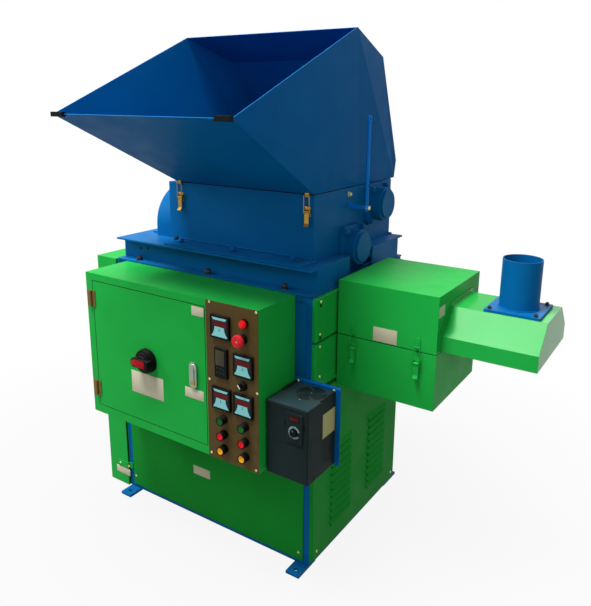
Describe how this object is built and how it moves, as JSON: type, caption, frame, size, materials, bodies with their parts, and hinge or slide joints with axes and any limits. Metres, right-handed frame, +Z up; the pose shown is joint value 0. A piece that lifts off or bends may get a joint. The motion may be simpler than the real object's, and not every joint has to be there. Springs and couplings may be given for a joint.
{
  "type": "hot melt densifier",
  "caption": "Floor-standing foam densifier: shredder hopper over a frame with control cabinet, inverter and a heated die box with vented hood.",
  "frame": {"origin": "centre of the four floor anchor holes, at floor level", "axes": "+Z up, +X to the right along the cabinet front, -Y towards the operator"},
  "size_m": [1.603, 1.068, 1.76],
  "materials": {
    "blue_paint": "satin enamel",
    "green_paint": "satin enamel",
    "control_sheet": "brushed sheet",
    "black_plastic": "matte moulded",
    "charcoal_plastic": "fine textured",
    "red_plastic": "glossy moulded",
    "green_plastic": "glossy moulded",
    "yellow_plastic": "glossy moulded",
    "zinc": "yellow zinc plated",
    "chrome_parts": "polished",
    "steel": "machined",
    "rubber_trim": "matte rubber"
  },
  "bodies": {
    "machine": {"frame_posts": "blue_paint", "frame_rails": "blue_paint", "floor_feet": "blue_paint", "front_panel": "green_paint", "rear_panel": "green_paint", "right_trays": "green_paint", "louvre_tray": "green_paint", "left_panel": "green_paint", "drive_guard": "green_paint", "guard_tab": "green_paint", "cabinet": "green_paint", "door_hinges": "green_paint", "control_plate": "control_sheet", "panel_meters": "black_plastic", "temperature_controller": "black_plastic", "control_collars": "black_plastic", "pilot_lamp": "red_plastic", "inverter_bracket": "blue_paint", "inverter_case": "charcoal_plastic", "inverter_keypad": "black_plastic", "pedestal_frame": "blue_paint", "deck_plate": "blue_paint", "shredder_housing": "blue_paint", "gear_guard": "blue_paint", "flange_bearings": "blue_paint", "rotors": "steel", "hopper_hinge_fixed": "blue_paint", "stay_rod": "blue_paint", "heater_base": "green_paint", "toggle_plates": "zinc"},
    "door": {"cabinet_door": "green_paint", "hinge_leaves": "green_paint", "isolator_base": "black_plastic", "door_latch": "chrome_parts"},
    "isolator": {"isolator_handle": "black_plastic"},
    "stop_button": {"emergency_stop": "red_plastic"},
    "selector": {"selector_knob": "black_plastic"},
    "start_left": {"button_start_left": "green_plastic"},
    "start_right": {"button_start_right": "green_plastic"},
    "stop_left": {"button_stop_left": "red_plastic"},
    "stop_right": {"button_stop_right": "red_plastic"},
    "reset_left": {"button_reset_left": "yellow_plastic"},
    "reset_right": {"button_reset_right": "yellow_plastic"},
    "speed_dial": {"inverter_dial": "black_plastic"},
    "hopper_top": {"hopper": "blue_paint", "hopper_trim": "rubber_trim", "hopper_hinge_straps": "blue_paint", "hopper_strikes": "zinc"},
    "die_lid": {"heater_lid": "green_paint", "die_hood": "green_paint", "vent_pipe": "blue_paint", "lid_strikes": "green_paint"},
    "toggle_a": {"toggle_hopper_left": "zinc"},
    "toggle_b": {"toggle_hopper_right": "zinc"},
    "toggle_c": {"toggle_die_box_left": "green_paint"},
    "toggle_d": {"toggle_die_box_right": "green_paint"}
  },
  "joints": [
    {"name": "door_swing", "type": "hinge", "parent": "machine", "child": "door", "pos_m": [-0.3535, -0.5165, 0.7045], "axis": [0, 0, -1], "range_deg": [0, 110]},
    {"name": "isolator_turn", "type": "hinge", "parent": "door", "child": "isolator", "pos_m": [-0.091, -0.531, 0.702], "axis": [0, 1, 0], "range_deg": [0, 90]},
    {"name": "selector_turn", "type": "hinge", "parent": "machine", "child": "selector", "pos_m": [0.314, -0.523, 0.718], "axis": [0, 1, 0], "range_deg": [-45, 45]},
    {"name": "stop_press", "type": "slide", "parent": "machine", "child": "stop_button", "axis": [0, 1, 0], "range_m": [0, 0.005], "stiffness_N_per_m": 800},
    {"name": "start_left_press", "type": "slide", "parent": "machine", "child": "start_left", "axis": [0, 1, 0], "range_m": [0, 0.0035], "stiffness_N_per_m": 400},
    {"name": "start_right_press", "type": "slide", "parent": "machine", "child": "start_right", "axis": [0, 1, 0], "range_m": [0, 0.0035], "stiffness_N_per_m": 400},
    {"name": "stop_left_press", "type": "slide", "parent": "machine", "child": "stop_left", "axis": [0, 1, 0], "range_m": [0, 0.0035], "stiffness_N_per_m": 400},
    {"name": "stop_right_press", "type": "slide", "parent": "machine", "child": "stop_right", "axis": [0, 1, 0], "range_m": [0, 0.0035], "stiffness_N_per_m": 400},
    {"name": "reset_left_press", "type": "slide", "parent": "machine", "child": "reset_left", "axis": [0, 1, 0], "range_m": [0, 0.0035], "stiffness_N_per_m": 400},
    {"name": "reset_right_press", "type": "slide", "parent": "machine", "child": "reset_right", "axis": [0, 1, 0], "range_m": [0, 0.0035], "stiffness_N_per_m": 400},
    {"name": "speed_turn", "type": "hinge", "parent": "machine", "child": "speed_dial", "pos_m": [0.478, -0.49, 0.604], "axis": [0, 1, 0], "range_deg": [-150, 150]},
    {"name": "hopper_tilt", "type": "hinge", "parent": "machine", "child": "hopper_top", "pos_m": [0.087, 0.3535, 1.2605], "axis": [-1, 0, 0], "range_deg": [0, 60]},
    {"name": "die_lid_lift", "type": "hinge", "parent": "machine", "child": "die_lid", "pos_m": [0.6185, 0.1695, 0.817], "axis": [-1, 0, 0], "range_deg": [0, 75]},
    {"name": "toggle_a_swing", "type": "hinge", "parent": "machine", "child": "toggle_a", "pos_m": [-0.182, -0.2345, 1.207], "axis": [-1, 0, 0], "range_deg": [0, 110]},
    {"name": "toggle_b_swing", "type": "hinge", "parent": "machine", "child": "toggle_b", "pos_m": [0.352, -0.2345, 1.207], "axis": [-1, 0, 0], "range_deg": [0, 110]},
    {"name": "toggle_c_swing", "type": "hinge", "parent": "machine", "child": "toggle_c", "pos_m": [0.511, -0.2055, 0.781], "axis": [-1, 0, 0], "range_deg": [0, 110]},
    {"name": "toggle_d_swing", "type": "hinge", "parent": "machine", "child": "toggle_d", "pos_m": [0.727, -0.2055, 0.781], "axis": [-1, 0, 0], "range_deg": [0, 110]}
  ]
}
